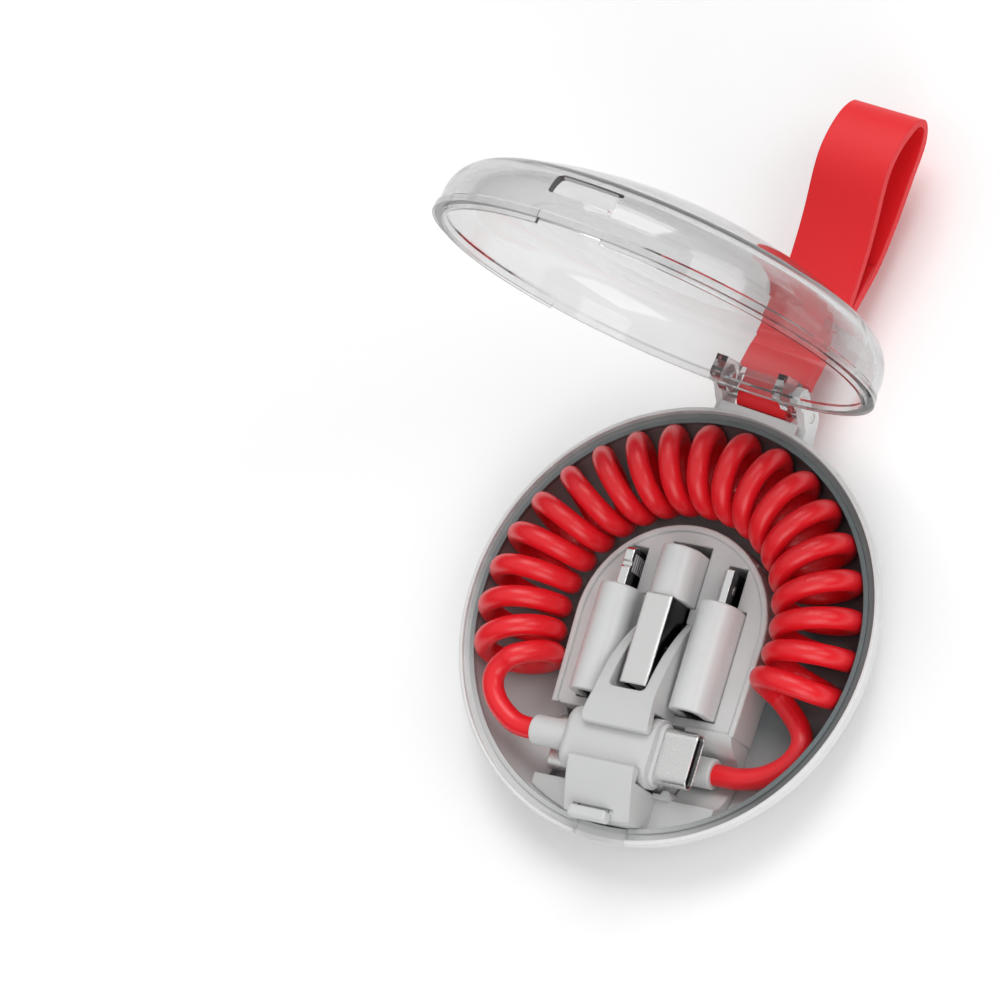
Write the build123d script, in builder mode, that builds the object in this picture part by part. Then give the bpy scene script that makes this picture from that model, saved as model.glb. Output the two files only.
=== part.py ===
from build123d import *
import math
import os

os.makedirs("parts", exist_ok=True)

# ---------------------------------------------------------------- driving dimensions (mm, degrees)
case_r = 33.0            # outer radius of the round case
rim_z = 9.6              # height of the base's rim above the table
floor_z = 1.5            # inside floor of the base
ring_r = 23.6            # radius of the channel's middle line
channel_z = 8.5          # height of the channel section's centre
channel_in = 7.0         # inside radius of the channel section
channel_out = 8.5        # outside radius of the channel section
ledge_r = 31.3           # inner ledge, up to the groove
groove_r = 32.35         # groove for the lid's skirt, up to the rim
groove_z = 8.9
turn = 8.5               # the tray's own axis against the hinge's axis

hinge_y = 36.85          # hinge pins
hinge_z = rim_z + 2.3
pin_r = 0.6
barrel_r = 2.2
barrel_in, barrel_half = 4.5, 6.25
ear_in, ear_out = 6.5, 7.8
strap_y = 35.5           # strap bar
strap_z = rim_z - 1.2
strap_root = 1.75
bar_r = 0.8
sill_r, sill_end = 32.7, 33.7   # sill between the rim and the strap's root

lid_seat = rim_z + 0.1   # lid, in its closed place
lid_wall = rim_z + 3.0
lid_h = 11.5             # dome above its short wall
crown_r = 76.0
crown_flat = 0.3         # half angle of the small flat in the middle of the crown
lid_t = 1.3
skirt_in, skirt_out, skirt_z = 31.55, 32.15, 9.15
window_w, window_lo, window_hi = 9.6, rim_z + 3.9, rim_z + 6.7
window_at = -86.0        # its place round the lid, the hinge being at +90

strap_w = 11.8
strap_t = 1.2
root_half = 4.2

platform_r = 15.4        # tray
platform_z = rim_z - 1.6
platform_front = -14.1
platform_half = 15.0
shelf_z = rim_z - 2.8
shelf_back = -24.7
shelf_half = 14.8
tongue_front = -17.55
tongue_z = rim_z + 6.0
tongue_arc = 26.0
tongue_half = 5.6
tower_half = 5.4
tab_x, tab_half = -0.6, 3.1   # latch tab in the tower
tower_back = -24.6
tower_lip = -22.5
tower_front = -30.3
tower_hi = rim_z + 6.3
tower_lo = rim_z + 2.7

plug_y = -19.4           # the two stacked plugs
plug_t = 5.9
plug_w = 9.4
flange_w = 10.2
plug_a_z = rim_z + 1.45
plug_b_z = rim_z - 4.55
plug_mirror = -0.85      # lower plug is the upper one turned about this place

body_w, body_t = 11.4, 6.2   # adapters stand on edge
side_x = 8.2
side_front, side_back = -12.5, 3.9
side_z = floor_z + 0.05 + body_w / 2
wide_w, wide_t = 12.0, 4.5
wide_z = floor_z + 0.05 + wide_w / 2

coil_od = 13.7           # curly part of the cable
coil_z = floor_z + 0.05 + coil_od / 2
coil_from, coil_to = -113.5, 108.5   # clockwise from the tray's axis
cable_d = 3.2
sleeve_r = 2.25

# ---------------------------------------------------------------- frames
ct, st = math.cos(math.radians(turn)), math.sin(math.radians(turn))


def tray_v(v):
    # a vector of the tray's own axes, in the case's axes
    return Vector(v[0] * ct - v[1] * st, v[0] * st + v[1] * ct, v[2])


def tray_plane(origin, x_dir, z_dir):
    return Plane(origin=tray_v(origin), x_dir=tray_v(x_dir), z_dir=tray_v(z_dir))


def lid_v(v):
    # a vector of the closed lid, turned to where the open lid stands
    x, y, z = tuple(v)
    return Vector(x, z, -y)


def lid_p(p):
    x, y, z = tuple(p)
    return Vector(x, hinge_y + (z - hinge_z), hinge_z - (y - hinge_y))


def lid_plane(origin, x_dir, z_dir):
    return Plane(origin=lid_p(origin), x_dir=lid_v(x_dir), z_dir=lid_v(z_dir))


X, Y, Z = (1, 0, 0), (0, 1, 0), (0, 0, 1)
NX, NY, NZ = (-1, 0, 0), (0, -1, 0), (0, 0, -1)
lid_axis = Axis(lid_p((0, 0, 0)), lid_v(Z))
# dome of two arcs that run into each other: a flat crown and a tighter shoulder
shoulder_r = (crown_r ** 2 - (crown_r - lid_h) ** 2 - case_r ** 2) / (2 * (crown_r - case_r))
dome_angle = math.degrees(math.atan2(case_r - shoulder_r, crown_r - lid_h))


def dome_point(angle, depth):
    # a point of the dome's section, by the angle of its normal from upright and its depth under the outside
    sn, cs = math.sin(math.radians(angle)), math.cos(math.radians(angle))
    if angle <= dome_angle:
        return (crown_r - depth) * sn, lid_wall + lid_h - crown_r + (crown_r - depth) * cs
    return case_r - shoulder_r + (shoulder_r - depth) * sn, lid_wall + (shoulder_r - depth) * cs


band_z = rim_z - 1.9
band_r = ring_r + math.sqrt(channel_out ** 2 - (channel_z - band_z) ** 2)
d45 = math.sqrt(0.5)

# ---------------------------------------------------------------- base shell
with BuildPart() as base_shell:
    with BuildSketch(Plane.XZ) as bowl:
        with BuildLine():
            mid = math.atan2(channel_z - band_z, band_r - ring_r) / 2 + math.pi / 4
            l1 = Line((0, 0), (ring_r, 0))
            l2 = ThreePointArc((ring_r, 0), (ring_r + channel_out * math.sin(mid), channel_z - channel_out * math.cos(mid)),
                               (band_r, band_z))
            l3 = Polyline((band_r, band_z), (case_r, band_z), (case_r, rim_z), (groove_r, rim_z), (groove_r, groove_z),
                          (ledge_r, groove_z), (ledge_r, rim_z - 0.3), (ring_r + channel_in, rim_z - 0.3),
                          (ring_r + channel_in, channel_z))
            l4 = ThreePointArc((ring_r + channel_in, channel_z),
                               (ring_r + channel_in * d45, channel_z - channel_in * d45), (ring_r, floor_z))
            l5 = Polyline((ring_r, floor_z), (0, floor_z), (0, 0))
        make_face()
    revolve(axis=Axis.Z)
    # softened rim, band and ledge edges
    fillet(base_shell.edges().filter_by(GeomType.CIRCLE).filter_by(lambda e: abs(e.radius - case_r) < 0.01), 0.3)
    fillet(base_shell.edges().filter_by(GeomType.CIRCLE).filter_by(
        lambda e: abs(e.radius - groove_r) < 0.01 and e.center().Z > rim_z - 0.1), 0.12)
    # hinge ears, carrying a hinge pin each above and the strap bar below
    for ear_x in (-ear_out, ear_in):
        with BuildSketch(Plane(origin=(ear_x, 0, 0), x_dir=Y, z_dir=X)) as ear:
            with BuildLine():
                Polyline((29.6, 5.2), (30.2, 7.4), (31.8, 8.3), (33.3, 8.5), (33.9, 9.6), (35.3, 11.5), (hinge_y, hinge_z),
                         (38.4, 11.4), (37.1, 7.7), (36.0, 6.3), (33.0, 5.0), (29.6, 5.2))
            make_face()
            with Locations((hinge_y, hinge_z)):
                Circle(1.6)
            with Locations((strap_y, strap_z)):
                Circle(1.65)
        extrude(amount=ear_out - ear_in)
    # sill from the rim to the strap's root
    with BuildSketch(Plane(origin=(0, 0, rim_z - 0.45), x_dir=X, z_dir=Z)) as sill:
        with BuildLine():
            sill_y = math.sqrt(sill_r ** 2 - (ear_in + 0.1) ** 2)
            ThreePointArc((-ear_in - 0.1, sill_y), (0, sill_r), (ear_in + 0.1, sill_y))
            Polyline((ear_in + 0.1, sill_y), (ear_in + 0.1, sill_end), (-ear_in - 0.1, sill_end), (-ear_in - 0.1, sill_y))
        make_face()
    extrude(amount=0.4)
    with BuildSketch(Plane.YZ) as ear_holes:
        with Locations((hinge_y, hinge_z)):
            Circle(pin_r)
        with Locations((strap_y, strap_z)):
            Circle(bar_r)
    extrude(amount=12, both=True, mode=Mode.SUBTRACT)
    # finger notch in the rim, in front of the latch
    with BuildSketch(tray_plane((-0.3, -32.0, rim_z - 0.9), X, Z)) as notch:
        Rectangle(8.4, 4.0)
    extrude(amount=4, mode=Mode.SUBTRACT)
base_shell.part.label = "base_shell"
export_step(base_shell.part, "parts/base_shell.step")

# ---------------------------------------------------------------- hinge pins and strap bar
for pin_name, pin_x in (("hinge_pin_left", -ear_out), ("hinge_pin_right", barrel_in + 0.1)):
    with BuildPart() as hinge_pin:
        with BuildSketch(Plane(origin=(pin_x, hinge_y, hinge_z), x_dir=Y, z_dir=X)):
            Circle(pin_r)
        extrude(amount=ear_out - barrel_in - 0.1)
    hinge_pin.part.label = pin_name
    export_step(hinge_pin.part, "parts/" + pin_name + ".step")

with BuildPart() as strap_bar:
    with BuildSketch(Plane(origin=(-ear_out + 0.1, strap_y, strap_z), x_dir=Y, z_dir=X)):
        Circle(bar_r)
    extrude(amount=2 * ear_out - 0.2)
strap_bar.part.label = "strap_bar"
export_step(strap_bar.part, "parts/strap_bar.step")

# ---------------------------------------------------------------- clear lid, standing open
with BuildPart() as lid:
    inner_r = case_r - lid_t
    with BuildSketch(lid_plane((0, 0, 0), X, NY)) as dome:
        with BuildLine():
            Polyline((inner_r, lid_wall), (inner_r, lid_seat), (case_r + 0.3, lid_seat), (case_r + 0.3, lid_seat + 0.9),
                     (case_r, lid_seat + 1.2), (case_r, lid_wall))
            ThreePointArc(*[dome_point(a, 0.0) for a in (90.0, (90 + dome_angle) / 2, dome_angle)])
            ThreePointArc(*[dome_point(a, 0.0) for a in (dome_angle, (dome_angle + crown_flat) / 2, crown_flat)])
            Polyline(dome_point(crown_flat, 0.0), (0, dome_point(crown_flat, 0.0)[1]), (0, dome_point(crown_flat, lid_t)[1]),
                     dome_point(crown_flat, lid_t))
            ThreePointArc(*[dome_point(a, lid_t) for a in (crown_flat, (dome_angle + crown_flat) / 2, dome_angle)])
            ThreePointArc(*[dome_point(a, lid_t) for a in (dome_angle, (90 + dome_angle) / 2, 90.0)])
        make_face()
    revolve(axis=lid_axis)
    # skirt for the groove, broken at the latch and round the hinge
    for a0, a1 in ((146.0, window_at + 360 - 9.0), (window_at + 360 + 9.0, 394.0)):
        d = (math.cos(math.radians(a0)), math.sin(math.radians(a0)), 0)
        n = (math.sin(math.radians(a0)), -math.cos(math.radians(a0)), 0)
        with BuildSketch(lid_plane((0, 0, 0), d, n)) as skirt:
            with Locations(((skirt_in + skirt_out) / 2, (skirt_z + lid_seat + 1.2) / 2)):
                Rectangle(skirt_out - skirt_in, lid_seat + 1.2 - skirt_z)
        revolve(axis=lid_axis, revolution_arc=a1 - a0)
    # two hinge knuckles, joined by a bar behind the pins
    for side in (-barrel_half, barrel_in):
        with BuildSketch(lid_plane((side, 0, 0), Y, X)) as arm:
            with BuildLine():
                Polyline((31.9, 10.7), (33.4, 10.3), (35.2, 10.1), (hinge_y, hinge_z - barrel_r), (hinge_y, hinge_z + barrel_r),
                         (34.6, 13.9), (31.5, 13.6), (31.9, 10.7))
            make_face()
            with Locations((hinge_y, hinge_z)):
                Circle(barrel_r)
        extrude(amount=barrel_half - barrel_in)
    with BuildSketch(lid_plane((0, hinge_y + 1.2, hinge_z + 1.6), Y, X)) as knuckle_bar:
        RectangleRounded(0.8, 1.1, 0.2)
    extrude(amount=barrel_in + 0.2, both=True)
    with BuildSketch(lid_plane((0, hinge_y, hinge_z), Y, X)) as bore:
        Circle(pin_r + 0.05)
    extrude(amount=barrel_half + 1, both=True, mode=Mode.SUBTRACT)
    # latch window, above the break in the skirt
    wa = math.radians(window_at)
    w_out, w_side = (math.cos(wa), math.sin(wa), 0), (-math.sin(wa), math.cos(wa), 0)
    with BuildSketch(lid_plane((29.0 * w_out[0], 29.0 * w_out[1], (window_lo + window_hi) / 2), w_side, w_out)) as window:
        RectangleRounded(window_w, window_hi - window_lo, 0.4)
    extrude(amount=6, mode=Mode.SUBTRACT)
lid.part.label = "lid"
export_step(lid.part, "parts/lid.step")

# ---------------------------------------------------------------- wrist strap
upper = [(50.0, -0.85), (57.8, 0.3), (66.0, 3.0), (72.6, 5.3), (77.5, 4.9), (80.9, 3.2)]
tip = (82.3, 0.9)
lower = [(80.9, -1.3), (76.2, -2.7), (69.0, -3.9), (60.4, -4.6), (50.0, -3.15)]
loop_pts = [(y, rim_z + z) for y, z in upper + [tip] + lower]
with BuildPart() as strap:
    with BuildSketch(Plane.YZ) as band:
        with BuildLine():
            outer = Spline(*loop_pts, tangents=[(1, 0.05), (-1, 0.12)])
            Line(loop_pts[-1], loop_pts[0])
        make_face()
        # opening of the loop, one band thickness inside
        root = (52.4, rim_z - 2.05)
        rows = []
        for k in range(101):
            at, along = outer @ (k / 100), (outer % (k / 100)).normalized()
            rows.append((at.X + strap_t * along.Y, at.Y - strap_t * along.X))
        turn_k = max(range(101), key=lambda k: rows[k][0])
        over = [rows[k] for k in range(0, turn_k - 3, 5) if rows[k][0] > 55.5]
        under = [rows[k] for k in range(turn_k + 4, 101, 5) if rows[k][0] > 55.5]
        with BuildLine():
            Spline(root, *over, rows[turn_k], tangents=[(1, 0.12), (0, -1)])
            Spline(rows[turn_k], *under, root, tangents=[(0, -1), (-1, 0.12)])
        make_face(mode=Mode.SUBTRACT)
        with BuildLine():
            Polyline((strap_y, strap_z + strap_root), (50.2, rim_z - 0.85), (50.2, rim_z - 3.15), (strap_y, strap_z - strap_root),
                     (strap_y, strap_z + strap_root))
        make_face()
        with Locations((strap_y, strap_z)):
            Circle(strap_root)
            Circle(bar_r + 0.05, mode=Mode.SUBTRACT)
    extrude(amount=strap_w / 2, both=True)
    # narrower where it goes round the bar
    with BuildSketch(Plane(origin=(0, 0, 0), x_dir=X, z_dir=Z)) as waist:
        for s in (-1, 1):
            with BuildLine():
                Polyline((s * root_half, 32.0), (s * root_half, 38.9), (s * (strap_w / 2 + 0.1), 39.4), (s * 8.0, 39.4), (s * 8.0, 32.0),
                         (s * root_half, 32.0))
            make_face()
    extrude(amount=20, mode=Mode.SUBTRACT)
strap.part.label = "strap"
export_step(strap.part, "parts/strap.step")

# ---------------------------------------------------------------- inner tray
top_z = platform_z - 0.3     # platform's inner surface, inside its bead
slot_plugs = ((-side_x, 10.6, 1.35), (side_x, 10.1, 1.55))


def tongue_top(y):
    return tongue_z - tongue_arc + math.sqrt(tongue_arc ** 2 - (y - tongue_front) ** 2)


def on_tray(edge, x, y, z, near):
    # an edge whose middle is at a place of the tray's own axes, on either side
    m = edge.center()
    return (abs(abs(m.X * ct + m.Y * st) - x) < near and abs(m.Y * ct - m.X * st - y) < near and abs(m.Z - z) < near)


with BuildPart() as tray:
    with BuildSketch(tray_plane((0, 0, floor_z + 0.02), X, Z)) as outline:
        with BuildLine():
            ThreePointArc((-platform_r, 0), (0, platform_r), (platform_r, 0))
            Polyline((platform_r, 0), (platform_half, platform_front), (-platform_half, platform_front), (-platform_r, 0))
        make_face()
    extrude(amount=platform_z - floor_z - 0.02)
    # bead round the platform's edge
    with BuildSketch(tray_plane((0, 0, top_z), X, Z)) as inside:
        with BuildLine():
            ThreePointArc((-platform_r + 1.0, 0), (0, platform_r - 1.0), (platform_r - 1.0, 0))
            Polyline((platform_r - 1.0, 0), (platform_half - 0.9, platform_front - 1), (-platform_half + 0.9, platform_front - 1),
                     (-platform_r + 1.0, 0))
        make_face()
    extrude(amount=2, mode=Mode.SUBTRACT)
    fillet(tray.edges().filter_by(GeomType.CIRCLE).group_by(Axis.Z)[-1], 0.25)
    # hollow under the platform
    with BuildSketch(tray_plane((0, 0, floor_z), X, Z)) as hollow:
        with BuildLine():
            ThreePointArc((-platform_r + 1.4, 0), (0, platform_r - 1.4), (platform_r - 1.4, 0))
            Polyline((platform_r - 1.4, 0), (platform_half - 1.4, platform_front + 1.4),
                     (-platform_half + 1.4, platform_front + 1.4), (-platform_r + 1.4, 0))
        make_face()
    extrude(amount=top_z - 1.5 - floor_z, mode=Mode.SUBTRACT)
    # walls of the adapter slots
    with BuildSketch(tray_plane((0, 0, floor_z + 0.02), X, Z)) as slot_walls:
        for sx in (-side_x, side_x):
            with Locations((sx, (side_front + side_back) / 2)):
                Rectangle(body_t + 2.4, side_back - side_front + 2.4)
            with Locations((sx, 7.0)):
                Rectangle(5.2, 9.0)
        with Locations((0, 7.8)):
            Rectangle(body_t + 2.4, 11.6)
        with Locations((0, -4.6)):
            Rectangle(wide_t + 2.6, 15.6)
    extrude(amount=top_z - floor_z - 0.5)
    # plug bay floor, front shelf and latch tower, cut to the bowl below
    with BuildSketch(tray_plane((0, (platform_front + shelf_back) / 2, floor_z + 0.02), X, Z)) as bay:
        Rectangle(2 * platform_half - 4, platform_front - shelf_back + 1)
    extrude(amount=0.48)
    # dished block that the lower plug's sleeve and lead lie in, and the bay's low end wall on the other side
    with BuildSketch(tray_plane((7.2, 0, 0), Y, X)) as dish:
        with BuildLine():
            Polyline((platform_front + 0.3, floor_z + 0.02), (platform_front + 0.3, platform_z - 0.05), (platform_front, platform_z - 0.05))
            Spline((platform_front, platform_z - 0.05), (-15.9, rim_z - 3.5), (-16.9, rim_z - 5.6), (-17.7, rim_z - 6.6),
                   (-19.4, rim_z - 7.15), (-21.1, rim_z - 6.7), (-22.2, rim_z - 5.8), (-23.2, rim_z - 5.1), (-24.2, rim_z - 4.1),
                   (shelf_back, shelf_z))
            Polyline((shelf_back, shelf_z), (shelf_back - 0.3, shelf_z), (shelf_back - 0.3, floor_z + 0.02),
                     (platform_front + 0.3, floor_z + 0.02))
        make_face()
    extrude(amount=shelf_half - 7.2)
    with BuildSketch(tray_plane((-14.8, 0, 0), Y, X)) as low_wall:
        with BuildLine():
            Polyline((platform_front + 0.3, floor_z + 0.02), (platform_front + 0.3, platform_z - 0.05), (platform_front, platform_z - 0.05))
            Spline((platform_front, platform_z - 0.05), (-14.7, rim_z - 5.2), (-16.4, rim_z - 6.3), (-19.4, rim_z - 6.55),
                   (-22.4, rim_z - 6.3), (-24.1, rim_z - 5.2), (shelf_back, shelf_z))
            Polyline((shelf_back, shelf_z), (shelf_back - 0.3, shelf_z), (shelf_back - 0.3, floor_z + 0.02),
                     (platform_front + 0.3, floor_z + 0.02))
        make_face()
    extrude(amount=1.1)
    # stops beside the tower, and post under the upper plug's sleeve
    with BuildSketch(tray_plane((0, 0, floor_z + 0.02), X, Z)) as stops:
        with Locations((7.3, -24.3)):
            Circle(0.75)
        with Locations((6.3, -24.68)):
            Rectangle(2.0, 0.74)
    extrude(amount=plug_a_z - plug_t / 2 - 0.15 - floor_z - 0.02)
    with BuildSketch(tray_plane((0, 0, floor_z + 0.02), X, Z)) as post:
        with Locations((-14.3, -19.4)):
            Rectangle(1.1, 1.2)
    extrude(amount=plug_a_z - sleeve_r - 0.1 - floor_z - 0.02)
    with BuildSketch(tray_plane((0, 0, floor_z + 0.02), X, Z)) as shelf:
        with BuildLine():
            Polyline((-shelf_half, shelf_back), (shelf_half, shelf_back), (shelf_half, -34), (-shelf_half, -34),
                     (-shelf_half, shelf_back))
        make_face()
    extrude(amount=shelf_z - floor_z - 0.02)
    with BuildSketch(tray_plane((0, 0, 0), Y, X)) as tower:
        with BuildLine():
            Polyline((tower_back, floor_z + 1.0), (tower_back, rim_z + 4.5), (tower_lip, rim_z + 4.5), (tower_lip, tower_hi))
            RadiusArc((tower_lip, tower_hi), (tower_front, tower_lo), -30)
            Polyline((tower_front, tower_lo), (tower_front, floor_z + 1.0), (tower_back, floor_z + 1.0))
        make_face()
    extrude(amount=tower_half, both=True)
    # hold-down tongue, arched from the platform to its lip over the upper plug
    with BuildSketch(tray_plane((0, 0, 0), Y, X)) as tongue:
        with BuildLine():
            y_end = 0.6
            RadiusArc((tongue_front, tongue_z), (y_end, tongue_top(y_end)), tongue_arc)
            Polyline((y_end, tongue_top(y_end)), (y_end, top_z - 0.4), (platform_front, top_z - 0.4),
                     (platform_front, rim_z + 4.5), (tongue_front, rim_z + 4.5), (tongue_front, tongue_z))
        make_face()
    extrude(amount=tongue_half, both=True)
    # sides of the tongue, drawn in beside the adapters
    for s in (-1, 1):
        with BuildSketch(tray_plane((0, 0, top_z), X, Z)) as side_cut:
            with BuildLine():
                ThreePointArc((s * 4.7, tongue_front), (s * 5.3, -17.28), (s * 5.52, -16.7))
                Polyline((s * 5.52, -16.7), (s * 4.92, -12.4), (s * 4.75, -7.0), (s * 4.35, -3.0), (s * 3.9, 1.0),
                         (s * 7.0, 1.0), (s * 7.0, -18.0), (s * 4.7, -18.0), (s * 4.7, tongue_front))
            make_face()
        extrude(amount=10, mode=Mode.SUBTRACT)
    # slots for the adapters
    with BuildSketch(tray_plane((0, 0, floor_z - 0.5), X, Z)) as slots:
        for sx, tip_y, half in slot_plugs:
            with Locations((sx, (side_front + side_back) / 2)):
                Rectangle(body_t + 0.3, side_back - side_front + 0.4)
            with Locations((sx, (side_back + tip_y) / 2)):
                Rectangle(2 * half, tip_y - side_back + 0.6)
        with Locations((0, 7.85)):
            Rectangle(body_t + 0.3, 9.4)
        with Locations((0, -3.7)):
            Rectangle(wide_t + 0.5, 14.6)
    extrude(amount=top_z - floor_z + 0.5, mode=Mode.SUBTRACT)
    # notch in the tongue round the wide plug
    with BuildSketch(tray_plane((0, 0, top_z - 1), X, Z)) as notch_u:
        with Locations((0, -5.3)):
            RectangleRounded(6.0, 12.6, 0.9)
    extrude(amount=12, mode=Mode.SUBTRACT)
    # pocket and slide for the latch tab
    with BuildSketch(tray_plane((tab_x, 0, rim_z + 3.2), X, Z)) as pocket:
        with Locations((0, -30.2)):
            Rectangle(2 * tab_half + 0.26, 2.6)
    extrude(amount=5, mode=Mode.SUBTRACT)
    with BuildSketch(tray_plane((tab_x, -32, rim_z + 2.2), X, Y)) as slide:
        Rectangle(5.2, 2.0)
    extrude(amount=5.9, mode=Mode.SUBTRACT)
    # rounded corners and edges of the tongue's lip and the tower
    fillet(tray.edges().filter_by(lambda e: on_tray(e, 0, tongue_front, tongue_z, 0.3)
                                  or on_tray(e, 5.2, -17.2, tongue_z, 0.4)), 0.4)
    fillet(tray.edges().filter_by(lambda e: on_tray(e, 0, tower_lip, tower_hi, 0.3)), 0.35)
    # trimmed to the bowl
    with BuildSketch(Plane.XZ) as room:
        with BuildLine():
            wall = channel_in - 0.08
            Line((0, 0), (0, rim_z + 12))
            Polyline((0, rim_z + 12), (ring_r + wall, rim_z + 12), (ring_r + wall, channel_z))
            ThreePointArc((ring_r + wall, channel_z), (ring_r + wall * d45, channel_z - wall * d45), (ring_r, channel_z - wall))
            Polyline((ring_r, channel_z - wall), (ring_r - 3, floor_z), (ring_r - 3, 0), (0, 0))
        make_face()
    revolve(axis=Axis.Z, mode=Mode.INTERSECT)
tray.part.label = "tray"
export_step(tray.part, "parts/tray.step")

# ---------------------------------------------------------------- latch tab, sliding in the tower
with BuildPart() as latch_tab:
    with BuildSketch(tray_plane((tab_x, -30.25, rim_z + 3.3), X, Z)) as head:
        RectangleRounded(2 * tab_half, 1.7, 0.5)
    extrude(amount=1.75)
    fillet(latch_tab.edges().group_by(Axis.Z)[-1], 0.4)
    with BuildSketch(tray_plane((tab_x, -29.95, rim_z + 1.4), X, Z)) as neck:
        Rectangle(4.8, 0.9)
    extrude(amount=2.2)
    with BuildSketch(tray_plane((tab_x, -28.75, rim_z + 1.4), X, Z)) as stem:
        Rectangle(4.8, 3.3)
    extrude(amount=1.6)
latch_tab.part.label = "latch_tab"
export_step(latch_tab.part, "parts/latch_tab.step")

# ---------------------------------------------------------------- cable
with BuildPart() as cable_coil:
    a0 = math.radians(90 - coil_to)
    with BuildSketch(tray_plane((0, 0, 0), (math.cos(a0), math.sin(a0), 0), (math.sin(a0), -math.cos(a0), 0))):
        with Locations((ring_r, coil_z)):
            Circle(coil_od / 2)
    revolve(axis=Axis.Z, revolution_arc=coil_to - coil_from)
cable_coil.part.label = "cable_coil"
export_step(cable_coil.part, "parts/cable_coil.step")


def coil_face(angle, out, up):
    # a place on the coil's end face, out from its middle and up
    a = math.radians(angle)
    return ((ring_r + out) * math.sin(a), (ring_r + out) * math.cos(a), coil_z + up)


def before_face(angle, out, up, run):
    # a place in front of the coil's end face, square off it
    a = math.radians(angle)
    x, y, z = coil_face(angle, out, up)
    s = math.copysign(run, angle)
    return x + s * math.cos(a), y - s * math.sin(a), z


lead_a_pts = [(-14.3, plug_y, plug_a_z), (-17.2, plug_y, plug_a_z), (-20.3, -18.3, rim_z + 1.8),
              (-22.3, -16.0, rim_z + 2.2), before_face(coil_from, 2.4, 3.7, 3.1), coil_face(coil_from, 2.4, 3.7)]
lead_b_pts = [(2 * plug_mirror + 14.3, plug_y, plug_b_z), (15.6, plug_y, plug_b_z), (19.0, -18.2, rim_z - 4.65),
              (22.2, -15.4, rim_z - 4.65), before_face(coil_to, 2.5, -3.3, 3.5), coil_face(coil_to, 2.5, -3.3)]


def corner_radii(pts):
    v = [Vector(*p) for p in pts]
    radii = []
    for p, q, r in zip(v, v[1:], v[2:]):
        bend = (q - p).get_angle(r - q)
        radii.append(0.45 * min((q - p).length, (r - q).length) / math.tan(math.radians(bend / 2)))
    return radii


with BuildPart() as cable_lead_a:
    with BuildLine() as run_a:
        FilletPolyline(*[tray_v(p) for p in lead_a_pts], radius=corner_radii(lead_a_pts))
    with BuildSketch(Plane(origin=run_a.line @ 0, z_dir=run_a.line % 0)):
        Circle(cable_d / 2)
    sweep()
cable_lead_a.part.label = "cable_lead_a"
export_step(cable_lead_a.part, "parts/cable_lead_a.step")

with BuildPart() as cable_lead_b:
    with BuildLine() as run_b:
        FilletPolyline(*[tray_v(p) for p in lead_b_pts], radius=corner_radii(lead_b_pts))
    with BuildSketch(Plane(origin=run_b.line @ 0, z_dir=run_b.line % 0)):
        Circle(cable_d / 2)
    sweep()
cable_lead_b.part.label = "cable_lead_b"
export_step(cable_lead_b.part, "parts/cable_lead_b.step")
for nm, run, pc, pts in (("lead_a", run_a, cable_lead_a, lead_a_pts), ("lead_b", run_b, cable_lead_b, lead_b_pts)):
    run_length = sum(e.length for e in run.edges())
    print(nm, "radii", [round(r, 1) for r in corner_radii(pts)], "length", round(run_length, 2),
          "volume ratio", round(pc.part.volume / (math.pi * cable_d ** 2 / 4 * run_length), 4))

# ---------------------------------------------------------------- cable plugs, head to tail


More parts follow.
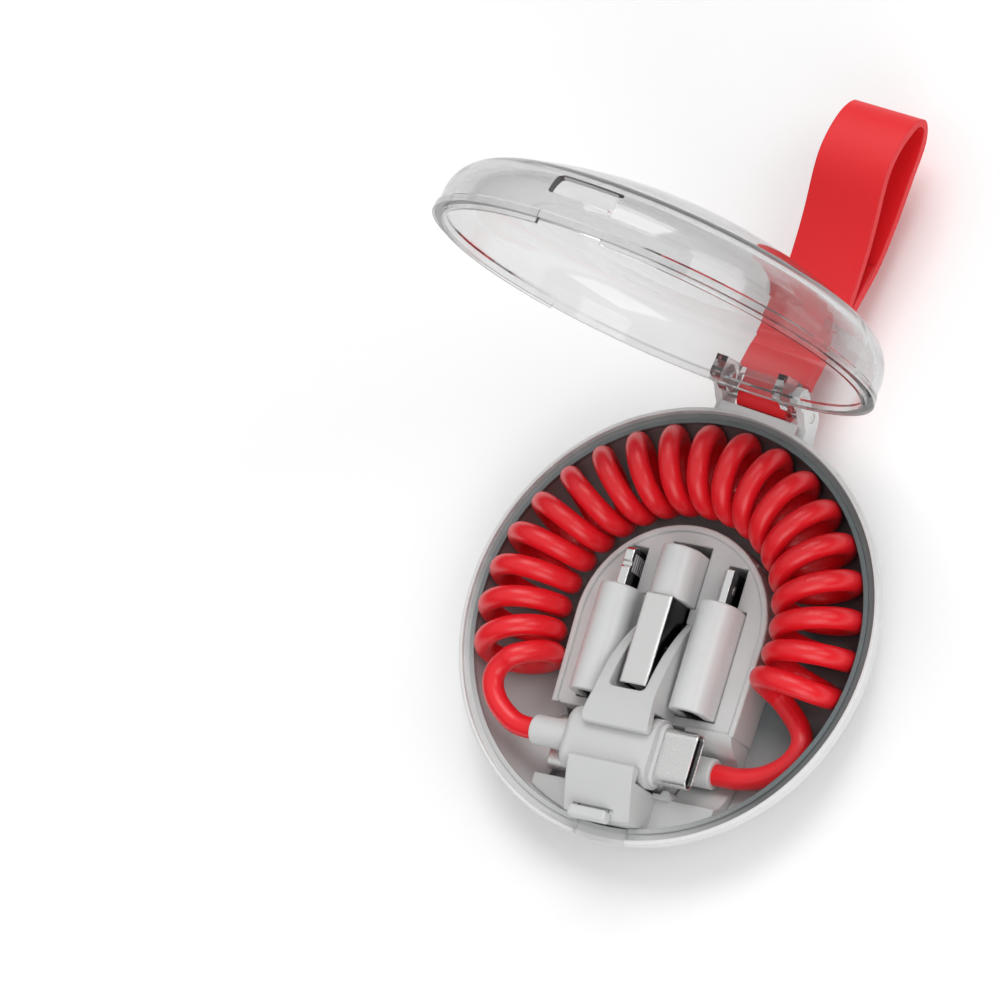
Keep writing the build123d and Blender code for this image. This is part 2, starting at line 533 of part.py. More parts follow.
def make_plug(name, z, sign, shift):
    # one plug lying across the tray; its own axis u runs from sleeve to mouth
    def at(u, origin_z=0.0, y=0.0):
        return (shift + sign * u, plug_y + y, z + origin_z)

    ax = (sign, 0, 0)
    with BuildPart() as body:
        with BuildSketch(tray_plane(at(-8.6), Y, ax)):
            RectangleRounded(plug_w, plug_t, 2.6)
        extrude(amount=13.4)
        fillet(body.faces().sort_by(Axis(tray_v(at(0)), tray_v(ax)))[0].edges(), 1.4)
        with BuildSketch(tray_plane(at(4.6), Y, ax)):
            RectangleRounded(flange_w, plug_t, 2.85)
        extrude(amount=1.6)
        with BuildSketch(tray_plane(at(6.2), Y, ax)):
            RectangleRounded(9.3, 3.6, 1.75)
        extrude(amount=0.6)
        fillet(body.faces().sort_by(Axis(tray_v(at(0)), tray_v(ax)))[-1].edges().filter_by(lambda e: e.length > 1.0), 0.2)
        with BuildSketch(tray_plane(at(-14.3), Y, ax)):
            Circle(sleeve_r)
        extrude(amount=6.5)
        fillet(body.faces().sort_by(Axis(tray_v(at(0)), tray_v(ax)))[0].edges(), 0.3)
        # seat of the metal shell and room for the board
        with BuildSketch(tray_plane(at(3.0), Y, ax)):
            SlotOverall(8.32, 2.52)
        extrude(amount=6, mode=Mode.SUBTRACT)
        with BuildSketch(tray_plane(at(-6.0), Y, ax)):
            Rectangle(7.0, 1.5)
        extrude(amount=9.1, mode=Mode.SUBTRACT)
    body.part.label = name + "_body"
    export_step(body.part, "parts/" + name + "_body.step")

    with BuildPart() as shell:
        with BuildSketch(tray_plane(at(3.0), Y, ax)):
            SlotOverall(8.3, 2.5)
            SlotOverall(7.8, 2.0, mode=Mode.SUBTRACT)
        extrude(amount=9.0)
        with BuildSketch(tray_plane(at(3.0), Y, ax)):
            SlotOverall(8.3, 2.5)
        extrude(amount=0.3)
        fillet(shell.faces().sort_by(Axis(tray_v(at(0)), tray_v(ax)))[-1].edges().sort_by(SortBy.LENGTH)[-4:], 0.09)
    shell.part.label = name + "_shell"
    export_step(shell.part, "parts/" + name + "_shell.step")

    with BuildPart() as core:
        with BuildSketch(tray_plane(at(3.32), Y, ax)):
            SlotOverall(7.76, 1.96)
        extrude(amount=8.3)
        with BuildSketch(tray_plane(at(6.2), Y, ax)):
            Rectangle(6.7, 0.98)
        extrude(amount=6, mode=Mode.SUBTRACT)
    core.part.label = name + "_core"
    export_step(core.part, "parts/" + name + "_core.step")

    with BuildPart() as contacts:
        with BuildSketch(tray_plane(at(7.0), Y, ax)):
            for zz in (-0.42, 0.42):
                with Locations((0, zz)):
                    with GridLocations(0.75, 1, 8, 1):
                        Rectangle(0.32, 0.12)
        extrude(amount=4.0)
    contacts.part.label = name + "_contacts"
    export_step(contacts.part, "parts/" + name + "_contacts.step")

    with BuildPart() as board:
        with BuildSketch(tray_plane(at(-5.6), Y, ax)):
            Rectangle(6.6, 0.8)
        extrude(amount=8.5)
        with BuildSketch(tray_plane(at(-3.6), Y, ax)):
            with Locations((0, 0.5)):
                Rectangle(3.0, 0.3)
        extrude(amount=3.0)
    board.part.label = name + "_board"
    export_step(board.part, "parts/" + name + "_board.step")


make_plug("plug_a", plug_a_z, 1, 0.0)
make_plug("plug_b", plug_b_z, -1, 2 * plug_mirror)

# ---------------------------------------------------------------- adapters, standing on edge in their slots


def make_socket(name, x, y, z, sign):
    # socket let into an adapter's end; depth runs from the mouth inwards
    ax = (0, sign, 0)
    with BuildPart() as shell:
        with BuildSketch(tray_plane((x, y + sign * 0.15, z), Z, ax)):
            SlotOverall(8.94, 3.16)
            SlotOverall(8.44, 2.66, mode=Mode.SUBTRACT)
        extrude(amount=6.5)
        with BuildSketch(tray_plane((x, y + sign * 6.35, z), Z, ax)):
            SlotOverall(8.94, 3.16)
        extrude(amount=0.3)
    shell.part.label = name + "_socket"
    export_step(shell.part, "parts/" + name + "_socket.step")
    with BuildPart() as tongue_part:
        with BuildSketch(tray_plane((x, y + sign * 0.9, z), Z, ax)):
            RectangleRounded(6.69, 0.7, 0.2)
        extrude(amount=4.6)
        with BuildSketch(tray_plane((x, y + sign * 4.6, z), Z, ax)):
            SlotOverall(8.36, 2.58)
        extrude(amount=1.7)
    tongue_part.part.label = name + "_socket_tongue"
    export_step(tongue_part.part, "parts/" + name + "_socket_tongue.step")


def make_body(name, x, z, y_mouth, sign, length, seat_w, seat_t, seat_depth):
    # stadium body along the tray's axis: socket at the mouth end, plug seat at the other
    ax = (0, sign, 0)
    with BuildPart() as body:
        with BuildSketch(tray_plane((x, y_mouth, z), Z, ax)):
            SlotOverall(body_w, body_t)
        extrude(amount=length)
        fillet(body.faces().sort_by(Axis(tray_v((x, y_mouth, z)), tray_v(ax)))[0].edges(), 0.3)
        fillet(body.faces().sort_by(Axis(tray_v((x, y_mouth, z)), tray_v(ax)))[-1].edges(), 0.3)
        with BuildSketch(tray_plane((x, y_mouth, z), Z, ax)):
            SlotOverall(9.0, 3.22)
        extrude(amount=6.7, mode=Mode.SUBTRACT)
        with BuildSketch(tray_plane((x, y_mouth + sign * (length - seat_depth), z), Z, ax)):
            Rectangle(seat_w, seat_t)
        extrude(amount=seat_depth, mode=Mode.SUBTRACT)
        if length > 12:
            with BuildSketch(tray_plane((x, y_mouth + sign * 6.6, z), Z, ax)):
                Rectangle(7.0, 2.0)
            extrude(amount=length - seat_depth - 6.5, mode=Mode.SUBTRACT)
    body.part.label = name + "_body"
    export_step(body.part, "parts/" + name + "_body.step")


def make_board(name, x, z, y0, y1, w, t):
    with BuildPart() as board:
        with BuildSketch(tray_plane((x, y0, z), Z, Y)):
            Rectangle(w, t)
        extrude(amount=y1 - y0)
    board.part.label = name + "_board"
    export_step(board.part, "parts/" + name + "_board.step")


side_len = side_back - side_front

# adapter with the eight-contact blade
ex = -side_x
make_body("eight", ex, side_z, side_front, 1, side_len, 6.74, 1.54, 2.0)
make_socket("eight", ex, side_front, side_z, 1)
make_board("eight", ex, side_z, side_front + 6.9, side_back - 2.1, 6.4, 1.0)
with BuildPart() as eight_blade:
    with BuildSketch(tray_plane((ex - 0.75, 0, side_z), Y, X)):
        with Locations(((side_back - 1.98 + 10.1) / 2, 0)):
            RectangleRounded(10.1 - side_back + 1.98, 6.7, 0.9)
    extrude(amount=1.5)
    # latching dimples in the two thin edges
    with BuildSketch(tray_plane((ex - 1, 0, side_z), Y, X)):
        with Locations((7.4, 3.62), (7.4, -3.62)):
            Circle(0.62)
    extrude(amount=2, mode=Mode.SUBTRACT)
    fillet(eight_blade.edges().filter_by(lambda e: e.length > 4.0 and abs(tray_v(X).dot(e % 0.5)) < 0.1), 0.18)
eight_blade.part.label = "eight_blade"
export_step(eight_blade.part, "parts/eight_blade.step")
with BuildPart() as eight_pads:
    for sgn, off in ((1, 0.75), (-1, -0.81)):
        with BuildSketch(tray_plane((ex + off, 0, side_z), Y, X)):
            with Locations((7.8, 0)):
                with GridLocations(1, 0.68, 1, 8):
                    RectangleRounded(2.7, 0.42, 0.15)
        extrude(amount=0.06)
eight_pads.part.label = "eight_pads"
export_step(eight_pads.part, "parts/eight_pads.step")

# adapter with the small trapezoid plug
mx = side_x
make_body("micro", mx, side_z, side_front, 1, side_len, 6.9, 1.9, 2.0)
make_socket("micro", mx, side_front, side_z, 1)
make_board("micro", mx, side_z, side_front + 6.9, side_back - 2.1, 6.4, 1.0)


def trapezoid(grow):
    # plug section on edge: the flat broad side faces +x
    w, t, c = 3.425 + grow, 0.925 + grow, 0.75
    Polygon((t, -w), (t, w), (-t + c, w), (-t, w - c), (-t, -w + c), (-t + c, -w), align=None)


with BuildPart() as micro_shell:
    with BuildSketch(tray_plane((mx, side_back - 1.95, side_z), X, NY)) as sec:
        trapezoid(0.0)
    extrude(amount=-(9.2 - side_back + 1.95))
    with BuildSketch(tray_plane((mx, side_back - 1.6, side_z), X, NY)) as sec_i:
        trapezoid(-0.28)
    extrude(amount=-10, mode=Mode.SUBTRACT)
    # two spring hooks on the broad side
    with BuildSketch(tray_plane((mx + 0.925, 0, side_z), Y, X)):
        with Locations((6.6, 1.75), (6.6, -1.75)):
            Rectangle(1.1, 0.7)
    extrude(amount=0.1)
micro_shell.part.label = "micro_shell"
export_step(micro_shell.part, "parts/micro_shell.step")
with BuildPart() as micro_core:
    with BuildSketch(tray_plane((mx, side_back - 1.58, side_z), Z, Y)):
        with Locations((0, -0.2)):
            Rectangle(4.7, 0.62)
    extrude(amount=9.2 - side_back + 1.0)
micro_core.part.label = "micro_core"
export_step(micro_core.part, "parts/micro_core.step")
with BuildPart() as micro_contacts:
    with BuildSketch(tray_plane((mx, side_back + 0.6, side_z), Z, Y)):
        with Locations((0, 0.17)):
            with GridLocations(0.65, 1, 5, 1):
                Rectangle(0.36, 0.12)
    extrude(amount=3.8)
micro_contacts.part.label = "micro_contacts"
export_step(micro_contacts.part, "parts/micro_contacts.step")

# adapter with the wide flat plug
wide_back, wide_root, wide_tip = 11.0, 3.2, -10.5
make_body("wide", 0, wide_z, wide_back, -1, wide_back - wide_root, 8.0, 3.0, 0.9)
make_socket("wide", 0, wide_back, wide_z, -1)
with BuildPart() as wide_shell:
    with BuildSketch(tray_plane((0, wide_root, wide_z), Z, NY)):
        RectangleRounded(wide_w, wide_t, 0.35)
    extrude(amount=wide_root - wide_tip)
    with BuildSketch(tray_plane((0, wide_root - 0.5, wide_z), Z, NY)):
        RectangleRounded(wide_w - 0.64, wide_t - 0.64, 0.15)
    extrude(amount=20, mode=Mode.SUBTRACT)
    # square windows in both broad sides
    with BuildSketch(tray_plane((-4, 0, wide_z), Y, X)):
        with Locations((-5.0, 2.6), (-5.0, -2.6)):
            Rectangle(2.3, 2.1)
    extrude(amount=8, mode=Mode.SUBTRACT)
wide_shell.part.label = "wide_shell"
export_step(wide_shell.part, "parts/wide_shell.step")
with BuildPart() as wide_core:
    with BuildSketch(tray_plane((0, wide_root - 0.52, wide_z), Z, NY)):
        with Locations((0, 0.95)):
            Rectangle(11.2, 1.84)
    extrude(amount=wide_root - 0.52 - wide_tip - 0.4)
wide_core.part.label = "wide_core"
export_step(wide_core.part, "parts/wide_core.step")
with BuildPart() as wide_contacts:
    with BuildSketch(tray_plane((0, wide_root - 2.5, wide_z), Z, NY)):
        with Locations((0, -0.03)):
            for zz in (-3.5, -1.0, 1.0, 3.5):
                with Locations((zz, 0)):
                    Rectangle(1.0, 0.12)
    extrude(amount=8.0)
wide_contacts.part.label = "wide_contacts"
export_step(wide_contacts.part, "parts/wide_contacts.step")
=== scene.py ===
import math

import bpy
import bmesh
import numpy as np
from mathutils import Matrix, Vector


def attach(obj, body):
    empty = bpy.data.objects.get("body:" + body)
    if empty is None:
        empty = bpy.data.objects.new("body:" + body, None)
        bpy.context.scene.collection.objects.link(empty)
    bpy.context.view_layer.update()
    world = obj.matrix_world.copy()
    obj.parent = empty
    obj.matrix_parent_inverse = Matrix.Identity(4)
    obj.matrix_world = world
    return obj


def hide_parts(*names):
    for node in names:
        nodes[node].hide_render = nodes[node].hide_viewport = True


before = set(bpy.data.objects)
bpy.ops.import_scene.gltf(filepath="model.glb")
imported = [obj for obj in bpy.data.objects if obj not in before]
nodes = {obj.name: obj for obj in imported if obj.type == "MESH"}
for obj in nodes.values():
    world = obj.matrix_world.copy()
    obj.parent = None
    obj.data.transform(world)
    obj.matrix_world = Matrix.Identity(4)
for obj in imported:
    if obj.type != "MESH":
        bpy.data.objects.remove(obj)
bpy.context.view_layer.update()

MM = 0.001
RIM = 9.6
TURN = math.radians(8.5)
CT, ST = math.cos(TURN), math.sin(TURN)


def tray(p):
    """A point of the tray's own axes (mm, height above the rim) in the case's axes, in metres."""
    x, y, z = p
    return Vector(((x * CT - y * ST) * MM, (x * ST + y * CT) * MM, (RIM + z) * MM))


def new_object(name, data):
    ob = bpy.data.objects.new(name, data)
    bpy.context.collection.objects.link(ob)
    return ob


# ------------------------------------------------------------------ camera
cam_data = bpy.data.cameras.new("camera")
cam = new_object("camera", cam_data)
cam_data.sensor_width = 36.0
cam_data.lens = 165.2
cam_data.clip_start, cam_data.clip_end = 0.01, 50.0
right, up, back = Vector((0.8011, 0.4130, -0.4332)), Vector((-0.2917, 0.9014, 0.3199)), Vector((0.5226, -0.1299, 0.8426))
cam.matrix_world = Matrix((
    (right.x, up.x, back.x, 0.3209),
    (right.y, up.y, back.y, -0.0796),
    (right.z, up.z, back.z, 0.5816),
    (0, 0, 0, 1)))
bpy.context.scene.camera = cam

# ------------------------------------------------------------------ materials
class Nodes:
    """Short hand for a material's node tree."""

    def __init__(self, name):
        self.mat = bpy.data.materials.new(name)
        self.mat.use_nodes = True
        self.tree = self.mat.node_tree
        self.bsdf = self.tree.nodes["Principled BSDF"]
        self.coord = self.add("ShaderNodeTexCoord").outputs["Object"]

    def add(self, kind, **values):
        n = self.tree.nodes.new(kind)
        for k, v in values.items():
            setattr(n, k, v)
        return n

    def link(self, a, b):
        self.tree.links.new(a, b)

    def noise(self, scale, detail=2.0, rough=0.5, vector=None, distortion=0.0):
        n = self.add("ShaderNodeTexNoise")
        n.inputs["Scale"].default_value = scale
        n.inputs["Detail"].default_value = detail
        n.inputs["Roughness"].default_value = rough
        n.inputs["Distortion"].default_value = distortion
        self.link(vector or self.coord, n.inputs["Vector"])
        return n.outputs["Fac"]

    def mapped(self, scale):
        n = self.add("ShaderNodeMapping")
        n.inputs["Scale"].default_value = scale
        self.link(self.coord, n.inputs["Vector"])
        return n.outputs["Vector"]

    def ramp(self, fac, lo, hi, a, b):
        n = self.add("ShaderNodeMapRange")
        n.inputs["From Min"].default_value, n.inputs["From Max"].default_value = lo, hi
        n.inputs["To Min"].default_value, n.inputs["To Max"].default_value = a, b
        self.link(fac, n.inputs["Value"])
        return n.outputs["Result"]

    def mix(self, fac, a, b):
        n = self.add("ShaderNodeMix", data_type="RGBA")
        n.inputs[6].default_value, n.inputs[7].default_value = (*a, 1), (*b, 1)
        self.link(fac, n.inputs[0])
        return n.outputs[2]

    def set(self, **values):
        for k, v in values.items():
            self.bsdf.inputs[k.replace("_", " ")].default_value = v

    def colour(self, socket):
        self.link(socket, self.bsdf.inputs["Base Color"])

    def rough(self, socket):
        self.link(socket, self.bsdf.inputs["Roughness"])

    def bump(self, height, strength, distance, round_edge=0.0):
        b = self.add("ShaderNodeBump")
        b.inputs["Strength"].default_value = strength
        b.inputs["Distance"].default_value = distance
        self.link(height, b.inputs["Height"])
        if round_edge:
            e = self.add("ShaderNodeBevel", samples=4)
            e.inputs["Radius"].default_value = round_edge
            self.link(e.outputs["Normal"], b.inputs["Normal"])
        self.link(b.outputs["Normal"], self.bsdf.inputs["Normal"])


def moulded(name, colour, rough, grain=0.010, round_edge=0.0002, spread=0.014, specular=0.45, cloud=220, uneven=0.03, speck=1400):
    """A moulded plastic: faint clouding of the colour, uneven gloss and a fine spark-eroded grain."""
    n = Nodes(name)
    light = tuple(min(1.0, c * (1 + spread)) for c in colour)
    dark = tuple(c * (1 - spread) for c in colour)
    n.colour(n.mix(n.noise(cloud, 4, 0.6), dark, light))
    n.rough(n.ramp(n.noise(speck, 3, 0.6), 0.3, 0.7, rough - uneven, rough + uneven))
    n.bump(n.noise(5200, 3, 0.6), 0.12, grain * MM, round_edge)
    n.set(Specular_IOR_Level=specular)
    return n.mat


def metal(name, colour, rough, stretch=(1, 1, 1), grain=0.006, round_edge=0.00012, spread=0.04, scale=2600):
    """A plated or blasted metal: fine uneven gloss, with the grain drawn out along one way where it is brushed."""
    n = Nodes(name)
    light = tuple(min(1.0, c * (1 + spread)) for c in colour)
    dark = tuple(c * (1 - spread) for c in colour)
    v = n.mapped(stretch)
    n.colour(n.mix(n.noise(700, 3, 0.6, v), dark, light))
    n.rough(n.ramp(n.noise(scale, 3, 0.6, v), 0.3, 0.7, max(0.03, rough - 0.03), rough + 0.03))
    n.bump(n.noise(scale * 2, 2, 0.6, v), 0.1, grain * MM, round_edge)
    n.set(Metallic=1.0)
    return n.mat


def base_plastic():
    """The shell's moulding, with painted shade: its channel, where the curly cable lies, is painted a darker grey
    that lightens towards the plug bay and towards -X, and the ledge inside the rim is painted a middle grey, lighter
    towards the front and towards -X."""
    n = Nodes("case_plastic")

    def maths(kind, a, b):
        m = n.add("ShaderNodeMath", operation=kind)
        for slot, v in zip(m.inputs, (a, b)):
            if isinstance(v, float):
                slot.default_value = v
            else:
                n.link(v, slot)
        return m.outputs[0]

    xyz = n.add("ShaderNodeSeparateXYZ")
    n.link(n.coord, xyz.inputs["Vector"])
    x, y, z = xyz.outputs["X"], xyz.outputs["Y"], xyz.outputs["Z"]
    r = maths("SQRT", maths("ADD", maths("MULTIPLY", x, x), maths("MULTIPLY", y, y)), 0.0)
    # the channel's section is an arc about its own centre, so its inner and outer skins part by their distance from it
    dr, dz = maths("MAXIMUM", maths("SUBTRACT", r, 0.0236), 0.0), maths("SUBTRACT", z, 0.0085)
    d = maths("SQRT", maths("ADD", maths("MULTIPLY", dr, dr), maths("MULTIPLY", dz, dz)), 0.0)
    inside = n.ramp(d, 0.0079, 0.0076, 0.0, 1.0)
    # painted shade in the cable channel: darkest at the back and towards +X, fading towards the front and towards -X
    channel_painted_shade = maths("MULTIPLY", inside, n.ramp(y, -0.022, -0.008, 0.25, 1.0))
    channel_painted_shade = maths("MULTIPLY", channel_painted_shade, n.ramp(x, -0.012, 0.018, 0.70, 0.96))
    # painted shade on the ledge inside the rim, fading towards the front and towards -X
    ledge = maths("MULTIPLY", n.ramp(r, 0.03235, 0.03215, 0.0, 1.0), n.ramp(z, 0.0083, 0.0086, 0.0, 1.0))
    ledge = maths("MULTIPLY", ledge, n.ramp(maths("ADD", y, maths("MULTIPLY", x, 0.35)), -0.028, -0.010, 0.30, 1.0))
    ledge = maths("MULTIPLY", ledge, n.ramp(x, -0.010, 0.022, 0.80, 1.0))
    light = n.mix(n.noise(220, 4, 0.6), (0.715, 0.718, 0.716), (0.735, 0.738, 0.736))
    # the painted shade colours for the ledge and the channel, mixed over the shell's light grey
    for fac, shade in ((ledge, (0.142, 0.145, 0.145, 1)), (channel_painted_shade, (0.125, 0.158, 0.163, 1))):
        mix = n.add("ShaderNodeMix", data_type="RGBA")
        n.link(fac, mix.inputs[0])
        n.link(light, mix.inputs[6])
        mix.inputs[7].default_value = shade
        light = mix.outputs[2]
    n.colour(light)
    n.rough(n.ramp(n.noise(1400, 3, 0.6), 0.3, 0.7, 0.36, 0.42))
    n.bump(n.noise(5200, 3, 0.6), 0.12, 0.010 * MM, 0.0002)
    n.set(Specular_IOR_Level=0.45)
    return n.mat


CASE = base_plastic()
TRAY = moulded("tray_plastic", (0.585, 0.592, 0.589), 0.46, round_edge=0.0004)
OVERMOULD = moulded("plug_overmould", (0.60, 0.605, 0.603), 0.36, round_edge=0.0003)
ADAPTER = moulded("adapter_body", (0.655, 0.66, 0.66), 0.28, grain=0.003, round_edge=0.0002, specular=0.6, spread=0.008, uneven=0.012, speck=7000)
BLACK = moulded("black_liner", (0.016, 0.016, 0.018), 0.36, grain=0.006, round_edge=0.0001)
WHITE = moulded("white_liner", (0.70, 0.70, 0.69), 0.35, grain=0.006, round_edge=0.0001)
BOARD = moulded("board_green", (0.015, 0.09, 0.035), 0.45, grain=0.01, round_edge=0.0)
NICKEL = metal("plug_metal", (0.79, 0.79, 0.785), 0.28, scale=7000, round_edge=0.0003)
CHROME = metal("bright_metal", (0.88, 0.88, 0.88), 0.09, grain=0.001, scale=9000)
STEEL = metal("pin_steel", (0.62, 0.62, 0.62), 0.25, (1, 12, 12))
GOLD = metal("contact_gold", (0.86, 0.62, 0.25), 0.22)


def faced_metal(name, edge, painted_reflection_colour, edge_rough, face_rough, round_edge, sparkle=0.1):
    """A plug's metal: bright satin or polished narrow sides and edges in the metal's own colour, and the wide faces
    across the tray painted near-black as painted dark reflection, polished.
    """
    n = Nodes(name)
    softened = n.add("ShaderNodeBevel", samples=6)
    softened.inputs["Radius"].default_value = round_edge
    normal = softened.outputs["Normal"]
    across = n.add("ShaderNodeVectorMath", operation="DOT_PRODUCT")
    across.inputs[1].default_value = (CT, ST, 0.0)
    n.link(normal, across.inputs[0])
    size = n.add("ShaderNodeMath", operation="ABSOLUTE")
    n.link(across.outputs["Value"], size.inputs[0])
    # mask of the wide faces across the tray, which carry the painted dark reflection
    painted_reflection_faces = n.ramp(size.outputs[0], 0.80, 0.90, 0.0, 1.0)
    grain = n.mix(n.noise(700, 3, 0.6), tuple(c * 0.97 for c in edge), edge)
    mix = n.add("ShaderNodeMix", data_type="RGBA")
    n.link(painted_reflection_faces, mix.inputs[0])
    n.link(grain, mix.inputs[6])
    mix.inputs[7].default_value = (*painted_reflection_colour, 1)
    n.colour(mix.outputs[2])
    n.rough(n.ramp(painted_reflection_faces, 0.0, 1.0, edge_rough, face_rough))
    n.bump(n.noise(7000, 2, 0.6), sparkle, 0.006 * MM, round_edge)
    n.set(Metallic=1.0)
    return n.mat


# the near-black second colours are painted dark reflection on the plugs' wide faces
WIDE_METAL = faced_metal("wide_metal", (0.86, 0.86, 0.855), (0.035, 0.035, 0.037), 0.27, 0.16, 0.00042, 0.22)
BLADE_METAL = faced_metal("blade_metal", (0.88, 0.88, 0.88), (0.045, 0.045, 0.047), 0.08, 0.20, 0.0002)
PADS = metal("pad_metal", (0.72, 0.72, 0.72), 0.38, scale=9000)


def silicone(name, colour, rough, grain, round_edge=0.0):
    """Soft moulded silicone: even, satin, a little light carried under the surface, dust-fine unevenness."""
    n = Nodes(name)
    dark = tuple(c * 0.965 for c in colour)
    n.colour(n.mix(n.noise(160, 4, 0.6), dark, colour))
    n.rough(n.ramp(n.noise(5000, 3, 0.6), 0.3, 0.7, rough - 0.025, rough + 0.025))
    n.bump(n.noise(6500, 3, 0.6), 0.05, grain * MM, round_edge)
    n.set(Specular_IOR_Level=0.5, Subsurface_Weight=0.08, Subsurface_Radius=(0.0012, 0.0002, 0.0002), Subsurface_Scale=1.0)
    return n.mat


RED_CORD = silicone("cable_jacket", (0.80, 0.010, 0.019), 0.31, 0.008)
RED_STRAP = silicone("strap_silicone", (0.76, 0.010, 0.016), 0.50, 0.014, 0.0003)


def clear(name):
    """Clear moulded lid: faintly smoky where the light's way through it is long, polished, with a hint of flow."""
    n = Nodes(name)
    n.set(Base_Color=(1.0, 1.0, 1.0, 1), Transmission_Weight=0.965, IOR=1.46, Specular_IOR_Level=0.5)
    n.rough(n.ramp(n.noise(300, 3, 0.6), 0.3, 0.7, 0.0, 0.012))
    n.bump(n.noise(60, 2, 0.5), 0.04, 0.02 * MM)
    v = n.add("ShaderNodeVolumeAbsorption")
    v.inputs["Color"].default_value = (0.02, 0.03, 0.04, 1)
    v.inputs["Density"].default_value = 130.0
    n.link(v.outputs["Volume"], n.tree.nodes["Material Output"].inputs["Volume"])
    return n.mat


CLEAR = clear("clear_plastic")

for name, ob in nodes.items():
    if name in ("base_shell",):
        mat = CASE
    elif name in ("tray", "latch_tab"):
        mat = TRAY
    elif name.startswith("hinge_pin") or name == "strap_bar":
        mat = STEEL
    elif name == "lid":
        mat = CLEAR
    elif name == "strap":
        mat = RED_STRAP
    elif name.startswith("cable"):
        mat = RED_CORD
    elif name in ("plug_a_body", "plug_b_body"):
        mat = OVERMOULD
    elif name == "eight_pads":
        mat = PADS
    elif name.endswith("_contacts"):
        mat = GOLD
    elif name.endswith("_board"):
        mat = BOARD
    elif name.endswith("_body"):
        mat = ADAPTER
    elif name == "wide_core":
        mat = WHITE
    elif name.endswith("_core") or name.endswith("_tongue"):
        mat = BLACK
    elif name in ("eight_blade", "micro_shell"):
        mat = BLADE_METAL
    elif name == "wide_shell":
        mat = WIDE_METAL
    else:
        mat = NICKEL
    ob.data.materials.clear()
    ob.data.materials.append(mat)

# ------------------------------------------------------------------ cable
# the route, point for point: lead of the upper plug, curly part, lead of the lower plug
PLUG_Y, COIL_R = -19.4, 23.6
COIL_Z = 8.4 - RIM
LEAD_A = [(-14.3, PLUG_Y, 1.45), (-16.6, PLUG_Y, 1.45), (-18.6, -18.8, 1.6), (-21.4, -16.8, 2.1), (-22.9, -14.2, 2.6),
          (-22.6, -12.0, 3.0), (-21.0, -10.4, 3.6)]
LEAD_B = [(24.6, -11.2, -4.6), (24.0, -15.3, -4.6), (20.3, -18.4, -4.65), (16.4, PLUG_Y, -4.55), (14.4, PLUG_Y, -4.55), (12.6, PLUG_Y, -4.55)]
TURNS, STEP = 20, 11.65
FIRST_TOP = -125.05          # where the first turn's top stands, clockwise from +Y
CORD_R, HELIX_R = 1.6, 5.25
PER_TURN = 16


def nurbs(name, points, resolution=4, bevel=0.0, sides=6):
    data = bpy.data.curves.new(name, "CURVE")
    data.dimensions = "3D"
    sp = data.splines.new("NURBS")
    sp.points.add(len(points) - 1)
    for q, p in zip(sp.points, points):
        q.co = (*p, 1.0)
    sp.order_u = 3
    sp.use_endpoint_u = True
    sp.resolution_u = resolution
    data.bevel_depth = bevel
    data.bevel_resolution = sides
    data.use_fill_caps = True
    return new_object(name, data)


def spline_points(ob):
    bpy.context.view_layer.update()
    me = bpy.data.meshes.new_from_object(ob.evaluated_get(bpy.context.evaluated_depsgraph_get()))
    pts = np.array([v.co for v in me.vertices])
    bpy.data.meshes.remove(me)
    return pts


axis_pts = []
for k in range(15):
    a = math.radians(-130.0 + (108.0 + 130.0) * k / 14)
    r = COIL_R * 1.0085
    axis_pts.append(Vector((r * math.sin(a) * MM, r * math.cos(a) * MM, (RIM + COIL_Z) * MM)))
axis = nurbs("axis", axis_pts, 12)
line = spline_points(axis)
bpy.data.objects.remove(axis)
bearing = np.degrees(np.arctan2(line[:, 0], line[:, 1]))
radius = np.hypot(line[:, 0], line[:, 1])

helix = []
start_phi, end_phi = 100.0, 360.0 * (TURNS - 1) + 232.0
count = int(round((end_phi - start_phi) / 360.0 * PER_TURN))
for k in range(count + 1):
    phi = start_phi + (end_phi - start_phi) * k / count
    a = FIRST_TOP + STEP * (phi - 90.0) / 360.0
    r = np.interp(a, bearing, radius) / MM
    z = np.interp(a, bearing, line[:, 2]) / MM
    h = HELIX_R / 0.981
    f = math.radians(phi)
    r, z = r + h * math.cos(f), z + h * math.sin(f)
    helix.append(Vector((r * math.sin(math.radians(a)) * MM, r * math.cos(math.radians(a)) * MM, z * MM)))

cord = nurbs("cable", [tray(p) for p in LEAD_A] + helix + [tray(p) for p in LEAD_B], 4, CORD_R * MM, 6)
cord.data.materials.append(RED_CORD)
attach(cord, "case")
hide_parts("cable_coil", "cable_lead_a", "cable_lead_b")

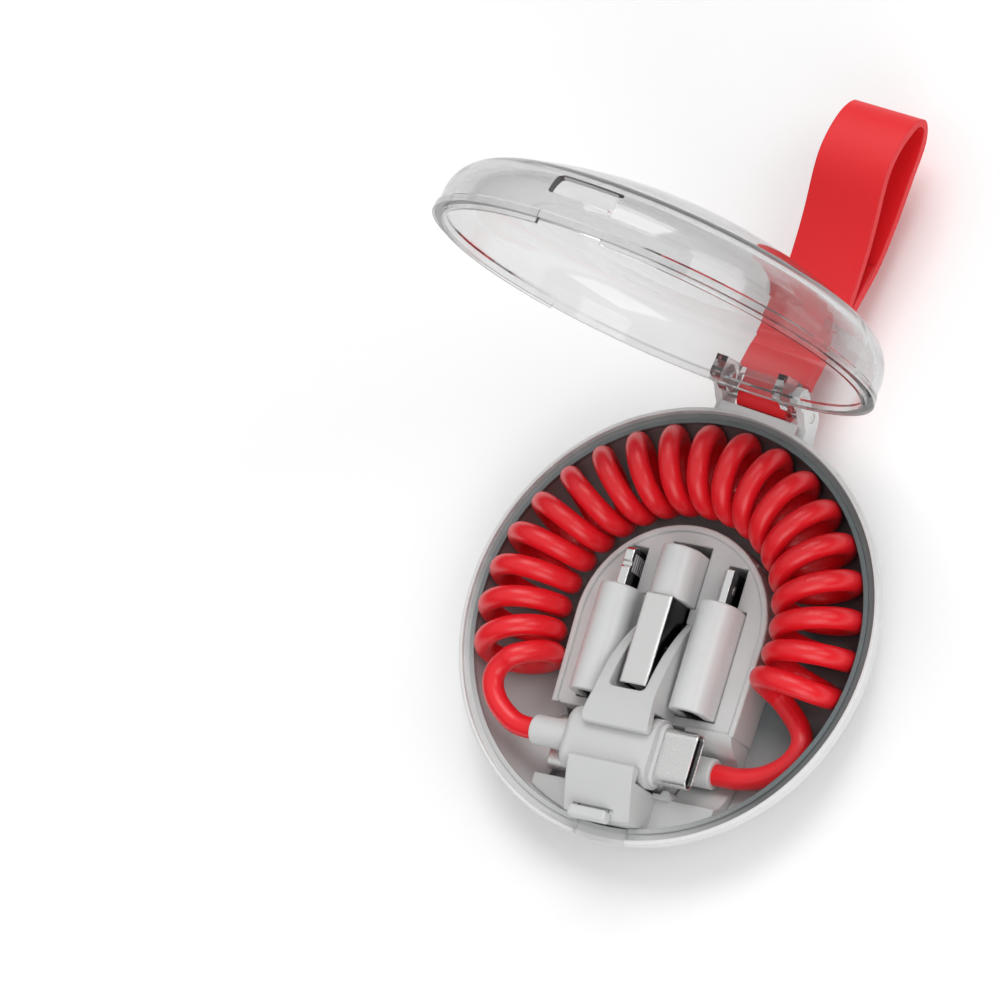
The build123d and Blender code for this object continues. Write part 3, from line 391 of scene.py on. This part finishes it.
# ------------------------------------------------------------------ floor and light
floor_mesh = bpy.data.meshes.new("floor")
floor_mesh.from_pydata([(-3, -3, 0), (3, -3, 0), (3, 3, 0), (-3, 3, 0)], [], [(0, 1, 2, 3)])
floor = new_object("floor", floor_mesh)
floor_n = Nodes("floor")
floor_n.colour(floor_n.mix(floor_n.noise(6, 3, 0.5), (0.92, 0.92, 0.92), (0.94, 0.94, 0.94)))
floor_n.set(Roughness=0.7, Specular_IOR_Level=0.2)
floor_mesh.materials.append(floor_n.mat)

world = bpy.data.worlds.new("world")
bpy.context.scene.world = world
world.use_nodes = True
wt = world.node_tree
# a bright tent overhead that falls off to a darker surround, so that gloss and clear plastic have something to show
sky_dir = wt.nodes.new("ShaderNodeTexCoord")
sky_xyz = wt.nodes.new("ShaderNodeSeparateXYZ")
sky_ramp = wt.nodes.new("ShaderNodeValToRGB")
wt.links.new(sky_dir.outputs["Generated"], sky_xyz.inputs["Vector"])
wt.links.new(sky_xyz.outputs["Z"], sky_ramp.inputs["Fac"])
ramp = sky_ramp.color_ramp
ramp.elements[0].position, ramp.elements[0].color = 0.0, (0.05, 0.05, 0.05, 1)
ramp.elements[1].position, ramp.elements[1].color = 1.0, (1.0, 1.0, 1.0, 1)
for at, v in ((0.30, 0.10), (0.50, 0.55), (0.7, 0.90)):
    ramp.elements.new(at).color = (v, v, v, 1)
wt.links.new(sky_ramp.outputs["Color"], wt.nodes["Background"].inputs["Color"])
wt.nodes["Background"].inputs["Strength"].default_value = 0.72


def area(name, loc, target, size, power):
    data = bpy.data.lights.new(name, "AREA")
    data.shape, data.size, data.size_y, data.energy = "RECTANGLE", size[0], size[1], power
    ob = new_object(name, data)
    ob.location = loc
    ob.rotation_euler = (Vector(target) - Vector(loc)).to_track_quat("-Z", "Y").to_euler()
    return ob


area("key", (-0.05, 1.0, 1.35), (0, 0.02, 0), (1.1, 1.1), 15.0)
area("front", (0.65, -0.75, 0.50), (0, 0, 0.01), (0.8, 0.8), 4.6)
area("side", (0.95, 0.35, 0.80), (0, 0, 0.01), (0.6, 0.6), 2.4)
bpy.context.scene.view_settings.view_transform = "Standard"
